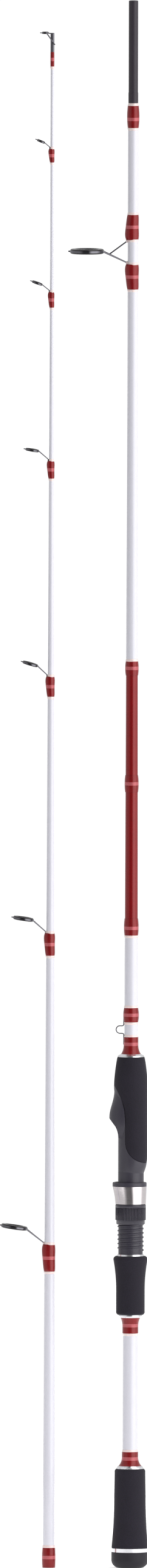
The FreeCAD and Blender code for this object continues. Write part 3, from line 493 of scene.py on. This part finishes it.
def rib_tree():
    """Ribs set round a nut: one upright rod for each point of a circle."""
    tree, given = new_tree("Nut ribs", (("Ribs", "Int"), ("Circle", "Float"), ("Rib radius", "Float"),
                                        ("Length", "Float"), ("Middle", "Float"), ("Finish", "Material")))
    circle = add_node(tree, "GeometryNodeMeshCircle", {"Vertices": given["Ribs"],
                                                       "Radius": given["Circle"]})
    rib = add_node(tree, "GeometryNodeMeshCylinder", {"Vertices": 12, "Radius": given["Rib radius"],
                                                      "Depth": given["Length"]})
    ribs = add_node(tree, "GeometryNodeInstanceOnPoints", {"Points": circle.outputs[0],
                                                           "Instance": rib.outputs[0]})
    raised = add_node(tree, "GeometryNodeTransform", {"Geometry": ribs.outputs[0],
                                                      "Translation": upright(tree, given["Middle"])})
    both = add_node(tree, "GeometryNodeJoinGeometry")
    tree.links.new(given["Geometry"], both.inputs[0])
    tree.links.new(raised.outputs[0], both.inputs[0])
    end_tree(tree, both.outputs[0], given["Finish"])
    return tree


def tape_tree():
    """Ridge that shrink tape leaves: a round cord wound up a tapering section."""
    tree, given = new_tree("Tape ridge", (("Turns", "Float"), ("Low radius", "Float"),
                                          ("High radius", "Float"), ("Height", "Float"),
                                          ("Ridge", "Float"), ("Place", "Vector"),
                                          ("Finish", "Material")))
    spiral = add_node(tree, "GeometryNodeCurveSpiral",
                      {"Resolution": 40, "Rotations": given["Turns"], "Start Radius": given["Low radius"],
                       "End Radius": given["High radius"], "Height": given["Height"]})
    section = add_node(tree, "GeometryNodeCurvePrimitiveCircle", {"Resolution": 8,
                                                                  "Radius": given["Ridge"]})
    ridge = add_node(tree, "GeometryNodeCurveToMesh", {"Curve": spiral.outputs[0],
                                                       "Profile Curve": section.outputs[0],
                                                       "Fill Caps": True})
    placed = add_node(tree, "GeometryNodeTransform", {"Geometry": ridge.outputs[0],
                                                      "Translation": given["Place"]})
    end_tree(tree, placed.outputs[0], given["Finish"])
    return tree


# ---- finishes ----------------------------------------------------------------------------------
def lacquer_material(name, finish, zones):
    """Pearl lacquer with other finishes in zones of (low, high, colour, metal, roughness, coat)."""
    material, tree, shader = new_material(name, Coat_Roughness=0.04, Specular_IOR_Level=0.2)
    mask = place_group(tree, "Grain", grain_group, Scale=2600.0, Coarse_share=0.25)
    colour = mixed(tree, mask, shade(finish.lacquer, 0.97), shade(finish.lacquer, 1.03))
    metal, rough, coat = 0.0, ramped(tree, mask, 0.0, 1.0, 0.26, 0.34), 1.0
    for low, high, paint, zone_metal, zone_rough, zone_coat in zones:
        zone = place_group(tree, "Zone", zone_group, Low=low, High=high, Edge=0.2 * MM)
        grain = mixed(tree, mask, shade(paint, 0.85), shade(paint, 1.15))
        colour = mixed(tree, zone, colour, grain)
        if zone_metal != metal:
            metal = between(tree, zone, metal, zone_metal)
        rough = between(tree, zone, rough, zone_rough)
        coat = between(tree, zone, coat, zone_coat)
    tree.links.new(colour, shader.inputs["Base Color"])
    if isinstance(metal, bpy.types.NodeSocket):
        tree.links.new(metal, shader.inputs["Metallic"])
    tree.links.new(rough, shader.inputs["Roughness"])
    tree.links.new(coat, shader.inputs["Coat Weight"])
    link_bump(tree, shader, mask, 0.004)
    return material


def thread_material(whipping, finish, detail):
    """Metallic thread under clear resin, with its decorative band and painted shade in the grooves between
    turns.
    """
    low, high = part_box(whipping)
    centre = low.z + BAND_SHARES.get(whipping, 0.5) * (high.z - low.z)
    material, tree, shader = new_material("Whipping " + whipping.replace("_", " "), Metallic=0.25,
                                          Coat_Weight=0.5, Coat_Roughness=0.03,
                                          Specular_IOR_Level=0.2)
    mask = place_group(tree, "Grain", grain_group, Scale=1800.0, Coarse_share=0.3)
    band = place_group(tree, "Zone", zone_group, Low=centre - detail.band_width / 2,
                       High=centre + detail.band_width / 2, Edge=0.15 * MM)
    ribs = place_group(tree, "Winding", winding_group, Pitch=detail.thread_pitch)
    thread = mixed(tree, mask, shade(finish.thread, 0.8), shade(finish.thread, 1.2))
    stripe = mixed(tree, mask, shade(finish.band, 0.85), shade(finish.band, 1.1))
    colour = mixed(tree, band, thread, stripe)
    # Painted shade: the thread's colour is darkened in the grooves between turns, where the winding's height
    # falls.
    groove_painted_shade = mixed(tree, ribs, GROOVE_PAINTED_SHADE, WHITE)
    shaded = add_node(tree, "ShaderNodeMix", {0: 1.0, 6: colour, 7: groove_painted_shade}, data_type="RGBA",
                      blend_type="MULTIPLY")
    tree.links.new(shaded.outputs[2], shader.inputs["Base Color"])
    tree.links.new(ramped(tree, mask, 0.0, 1.0, 0.3, 0.42), shader.inputs["Roughness"])
    link_bump(tree, shader, ribs, 0.012)
    return material


def brushed_material(name, colour, stretch, gloss):
    """Polished metal with faint lines that run round the section."""
    material, tree, shader = new_material(name, Metallic=1.0)
    spread = add_node(tree, "ShaderNodeMapping", {"Vector": object_place(tree), "Scale": stretch})
    lines = add_node(tree, "ShaderNodeTexNoise", {"Vector": spread.outputs[0], "Scale": 1.0,
                                                  "Detail": 4.0}).outputs[0]
    tree.links.new(mixed(tree, lines, shade(colour, 0.93), shade(colour, 1.05)),
                   shader.inputs["Base Color"])
    tree.links.new(ramped(tree, lines, 0.3, 0.7, *gloss), shader.inputs["Roughness"])
    link_bump(tree, shader, lines, 0.002)
    return material


# ---- operators ---------------------------------------------------------------------------------
class ROD_OT_blanks(bpy.types.Operator):
    """Lacquer both blanks and wind the tape ridges on the tip section"""

    bl_idname = "rod.blanks"
    bl_label = "Blanks"

    def execute(self, context):
        finish, detail = context.scene.rod_finish, context.scene.rod_detail
        # Zones: low end, high end, colour, metal, roughness, coat.
        red = (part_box("trim_wrap_lower")[0].z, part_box("trim_wrap_upper")[1].z, finish.red, 0.2, 0.3, 0.45)
        top = (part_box("ferrule_wrap")[1].z, CAD_HIGH.z, finish.carbon, 0.0, 0.4, 0.15)
        give(["butt_blank"], lacquer_material("Butt lacquer", finish, (red, top)))
        cut = (-MM, 0.3 * MM, finish.carbon, 0.0, 0.5, 0.0)
        lacquer = lacquer_material("Tip lacquer", finish, (cut,))
        give(["tip_blank"], lacquer)
        low_z, high_z = detail.tape_start, detail.tape_start + detail.tape_length
        sink = detail.tape_ridge * TAPE_SINK
        mesh = run_tree(tape_tree(), bpy.data.meshes.new("Tape base"), {
            "Turns": float(detail.tape_turns), "Low radius": blank_radius("tip_blank", low_z) - sink,
            "High radius": blank_radius("tip_blank", high_z) - sink, "Height": detail.tape_length,
            "Ridge": detail.tape_ridge, "Place": (TIP_X, 0.0, low_z), "Finish": lacquer})
        place_piece("tape_ridges", mesh, TIP, lacquer)
        return {"FINISHED"}


class ROD_OT_whippings(bpy.types.Operator):
    """Finish the whippings and run resin out at their ends"""

    bl_idname = "rod.whippings"
    bl_label = "Whippings"

    def execute(self, context):
        finish, detail = context.scene.rod_finish, context.scene.rod_detail
        resin = grained("Clear resin", finish.resin, gloss=(0.08, 0.14), spread=0.05, scale=900.0,
                        bump=0.003, Coat_Weight=1.0, Coat_Roughness=0.03, Subsurface_Weight=0.15,
                        Subsurface_Scale=0.5 * MM)
        builds = {BUTT: bmesh.new(), TIP: bmesh.new()}
        for whipping in WHIPPINGS:
            give([whipping], thread_material(whipping, finish, detail))
            body, blank, centre = section_of(whipping)
            low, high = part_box(whipping)
            ends = COLLAR_ENDS.get(whipping, ("foot", "top"))
            if "foot" in ends:
                self.collar(builds[body], blank, centre, low.z, -1, detail)
            if "top" in ends:
                self.collar(builds[body], blank, centre, high.z, 1, detail)
        finish_piece("resin_collars_butt", builds[BUTT], BUTT, resin)
        finish_piece("resin_collars_tip", builds[TIP], TIP, resin)
        return {"FINISHED"}

    def collar(self, build, blank, centre, end, way, detail):
        """Ring of resin that runs down from a whipping's end to the blank."""
        outer, inner = [], []
        for along, proud in COLLAR_SHAPE:
            z = end + way * along * detail.collar_reach
            radius = blank_radius(blank, z)
            outer.append((radius + proud * detail.collar_height, z))
            inner.append((radius - COLLAR_SINK, z))
        ring_of(build, outer + inner[::-1], centre)


class ROD_OT_guides(bpy.types.Operator):
    """Finish the line guides and set resin where their legs reach the blank"""

    bl_idname = "rod.guides"
    bl_label = "Line guides"

    def execute(self, context):
        finish = context.scene.rod_finish
        give(WIRES, grained("Guide wire", finish.chrome, gloss=(0.08, 0.16), spread=0.04, scale=700.0,
                            bump=0.002, Metallic=1.0))
        give(RINGS, grained("Ring ceramic", finish.ceramic, gloss=(0.22, 0.3), spread=0.1, scale=1500.0,
                            bump=0.001, Specular_IOR_Level=0.25, Coat_Weight=0.2, Coat_Roughness=0.02))
        resin = bpy.data.materials["Clear resin"]
        builds = {BUTT: bmesh.new(), TIP: bmesh.new()}
        for whipping, end, size in DROPS:
            body, blank, centre = section_of(whipping)
            low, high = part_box(whipping)
            z = high.z + DROP_ALONG * size * MM if end == "top" else low.z - DROP_ALONG * size * MM
            place = Vector((centre - blank_radius(blank, z) - DROP_OUT * size * MM, 0, z))
            drop_of(builds[body], place, DROP_SHAPE * size * MM)
        finish_piece("leg_resin_butt", builds[BUTT], BUTT, resin)
        finish_piece("leg_resin_tip", builds[TIP], TIP, resin)
        return {"FINISHED"}


class ROD_OT_grips(bpy.types.Operator):
    """Rebuild the foam grips with open cells, and finish the butt cap"""

    bl_idname = "rod.grips"
    bl_label = "Foam grips"

    def execute(self, context):
        finish, detail = context.scene.rod_finish, context.scene.rod_detail
        foam = grained("Grip foam", finish.foam, gloss=(0.72, 0.9), spread=0.28, scale=1300.0,
                       bump=0.05, Specular_IOR_Level=0.2, Sheen_Weight=0.05, Sheen_Roughness=0.5)
        for name in GRIPS:
            piece = place_piece(name + "_foam", self.foam_mesh(name, detail), BUTT, foam)
            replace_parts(piece, name)
        give(["butt_cap"], grained("Cap rubber", finish.rubber, gloss=(0.45, 0.6), spread=0.12,
                                   scale=800.0, bump=0.015, Specular_IOR_Level=0.3))
        return {"FINISHED"}

    def foam_mesh(self, name, detail):
        """Even mesh of a grip whose surface sinks into the foam's cells."""
        mesh = NODES[name].data.copy()
        build = bmesh.new()
        build.from_mesh(mesh)
        bmesh.ops.remove_doubles(build, verts=build.verts, dist=1e-6)
        build.to_mesh(mesh)
        build.free()
        holder = link_object(name + "_even", mesh)
        remesh = holder.modifiers.new("Even", "REMESH")
        remesh.mode = "VOXEL"
        remesh.voxel_size = detail.foam_voxel
        even = evaluated_mesh(holder)
        normals = [vert.normal.copy() for vert in even.vertices]
        for vert, normal in zip(even.vertices, normals):
            cells = noise.noise(vert.co / detail.foam_cell) * 0.5 + 0.5
            vert.co -= normal * (detail.foam_pore * cells)
        return even


class ROD_OT_seat(bpy.types.Operator):
    """Finish the reel seat, its hood and trim, and make the ribbed lock nut"""

    bl_idname = "rod.seat"
    bl_label = "Reel seat"

    def execute(self, context):
        finish, detail = context.scene.rod_finish, context.scene.rod_detail
        plastic = grained("Seat plastic", finish.plastic, gloss=(0.34, 0.44), spread=0.06, scale=1100.0,
                          bump=0.006)
        give(["reel_seat_body", "hood_insert"], plastic)
        give(["hood_shell"], brushed_material("Hood steel", finish.steel, stretch=(60, 60, 5200),
                                              gloss=(0.1, 0.2)))
        give(TRIMS, brushed_material("Trim metal", finish.trim, stretch=(80, 80, 4000),
                                     gloss=(0.14, 0.26)))
        give(["seat_arbor_lower", "seat_arbor_upper"],
             grained("Arbor", finish.arbor, gloss=(0.6, 0.8), spread=0.08, scale=500.0, bump=0.01))
        low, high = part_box("lock_nut")
        outer = high.x
        bore = min(math.hypot(v.co.x, v.co.y) for v in NODES["lock_nut"].data.vertices)
        length = high.z - low.z
        rib_low, rib_high = low.z + length * NUT_RIB_START, high.z - length * NUT_RIB_END
        mesh = run_tree(rib_tree(), self.nut_core(low.z, high.z, rib_low, rib_high, outer, bore), {
            "Ribs": detail.nut_ribs, "Circle": outer - detail.rib_radius, "Rib radius": detail.rib_radius,
            "Length": rib_high - rib_low, "Middle": (rib_low + rib_high) / 2, "Finish": plastic})
        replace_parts(place_piece("lock_nut_ribbed", mesh, NUT, plastic), "lock_nut")
        return {"FINISHED"}

    def nut_core(self, low, high, rib_low, rib_high, outer, bore):
        """The nut without its ribs: a collar, a waist and a rim with eased edges."""
        waist, collar, ease = outer - NUT_WAIST_DEPTH, outer - NUT_COLLAR_DEPTH, NUT_EASE
        build = bmesh.new()
        ring_of(build, ((bore, low), (collar - ease, low), (collar, low + ease), (collar, rib_low),
                        (waist, rib_low), (waist, rib_high), (outer, rib_high), (outer, high - ease),
                        (outer - ease, high), (bore, high)), 0.0, NUT_SIDES)
        bmesh.ops.recalc_face_normals(build, faces=build.faces)
        return mesh_of(build, "Nut core")


class ROD_OT_studio(bpy.types.Operator):
    """Set the pale floor, the soft lights and the camera"""

    bl_idname = "rod.studio"
    bl_label = "Studio"

    def execute(self, context):
        studio = context.scene.rod_studio
        self.floor(studio)
        self.world(context.scene, studio)
        centre = Vector(((CAD_LOW.x + CAD_HIGH.x) / 2, 0, CAD_HIGH.z / 2))
        self.light("Key", centre, azimuth=52, height=1.5, width=0.5, power=studio.key)
        self.light("Fill", centre, azimuth=-75, height=1.7, width=1.1, power=studio.fill)
        self.camera(context.scene, centre, studio)
        context.scene.view_settings.view_transform = "Standard"
        return {"FINISHED"}

    def floor(self, studio):
        material, _, shader = new_material("Paper", Base_Color=(0.9, 0.9, 0.9, 1.0), Roughness=0.9)
        shader.inputs["Emission Color"].default_value = WHITE
        shader.inputs["Emission Strength"].default_value = studio.paper
        build = bmesh.new()
        bmesh.ops.create_grid(build, x_segments=1, y_segments=1, size=studio.floor_size / 2)
        mesh = mesh_of(build, "floor")
        mesh.transform(((1, 0, 0, 0), (0, 1, 0, 0), (0, 0, 1, CAD_LOW.z), (0, 0, 0, 1)))
        mesh.materials.append(material)
        link_object("floor", mesh)

    def world(self, scene, studio):
        """White behind the object, and a softer room for what the object reflects."""
        world = bpy.data.worlds.new("Studio")
        world.use_nodes = True
        tree = world.node_tree
        place = add_node(tree, "ShaderNodeTexCoord").outputs["Generated"]
        way = add_node(tree, "ShaderNodeSeparateXYZ", {0: place}).outputs
        angle = arithmetic(tree, "ARCTAN2", way["X"], arithmetic(tree, "MULTIPLY", way["Y"], -1.0))
        turn = ramped(tree, angle, -math.pi, math.pi, 0.0, 1.0)
        stops = add_node(tree, "ShaderNodeValToRGB", {0: turn})
        ramp = stops.color_ramp
        for index, (degrees, brightness) in enumerate(ROOM):
            stop = ramp.elements[index] if index < 2 else ramp.elements.new(1.0)
            stop.position = (degrees + 180) / 360
            stop.color = (brightness / ROOM_PEAK,) * 3 + (1.0,)
        room = arithmetic(tree, "MULTIPLY", stops.outputs[0], ROOM_PEAK * studio.room)
        seen = add_node(tree, "ShaderNodeLightPath").outputs["Is Camera Ray"]
        strength = between(tree, seen, room, BACKDROP)
        tree.links.new(strength, tree.nodes["Background"].inputs["Strength"])
        tree.nodes["Background"].inputs["Color"].default_value = WHITE
        scene.world = world

    def light(self, name, centre, azimuth, height, width, power):
        """Upright soft box that faces the object from an angle right of the camera."""
        angle = math.radians(azimuth)
        lamp = bpy.data.lights.new(name, "AREA")
        lamp.shape = "RECTANGLE"
        lamp.size, lamp.size_y, lamp.energy = width, height, power
        made = link_object(name, lamp)
        away = Vector((math.sin(angle), -math.cos(angle), LAMP_RISE))
        made.location = centre + away * LAMP_DISTANCE
        made.rotation_mode = "QUATERNION"
        made.rotation_quaternion = (-away).to_track_quat("-Z", "Y")
        made.visible_glossy = False

    def camera(self, scene, centre, studio):
        """Straight view from the front, a little above the horizon, that just holds the object."""
        lens = bpy.data.cameras.new("Camera")
        lens.type = "ORTHO"
        lens.ortho_scale = CAD_HIGH.z * math.cos(studio.elevation) + studio.margin
        made = link_object("Camera", lens)
        away = Vector((0, -math.cos(studio.elevation), math.sin(studio.elevation)))
        made.location = centre - Vector((studio.aside, 0, 0)) + away * CAMERA_DISTANCE
        made.rotation_mode = "QUATERNION"
        made.rotation_quaternion = (-away).to_track_quat("-Z", "Y") @ Quaternion((0, 0, 1), studio.lean)
        scene.camera = made


class ROD_PT_panel(bpy.types.Panel):
    """Sizes, colours and steps of the rod"""

    bl_idname = "ROD_PT_panel"
    bl_label = "Spinning rod"
    bl_space_type = "VIEW_3D"
    bl_region_type = "UI"
    bl_category = "Rod"

    def draw(self, context):
        for step in STEPS:
            self.layout.operator(step.bl_idname)
        for name in GROUPS:
            box = self.layout.box()
            group = getattr(context.scene, name)
            for label in group.bl_rna.properties.keys():
                if label not in ("rna_type", "name"):
                    box.prop(group, label)


STEPS = (ROD_OT_blanks, ROD_OT_whippings, ROD_OT_guides, ROD_OT_grips, ROD_OT_seat, ROD_OT_studio)
GROUPS = {"rod_finish": RodFinish, "rod_detail": RodDetail, "rod_studio": RodStudio}
CLASSES = (RodFinish, RodDetail, RodStudio, *STEPS, ROD_PT_panel)


def register():
    for kind in CLASSES:
        bpy.utils.register_class(kind)
    for name, kind in GROUPS.items():
        setattr(bpy.types.Scene, name, bpy.props.PointerProperty(type=kind))


def unregister():
    for name in GROUPS:
        delattr(bpy.types.Scene, name)
    for kind in reversed(CLASSES):
        bpy.utils.unregister_class(kind)


def main():
    register()
    bpy.ops.rod.blanks()
    bpy.ops.rod.whippings()
    bpy.ops.rod.guides()
    bpy.ops.rod.grips()
    bpy.ops.rod.seat()
    bpy.ops.rod.studio()


if __name__ == "__main__":
    main()
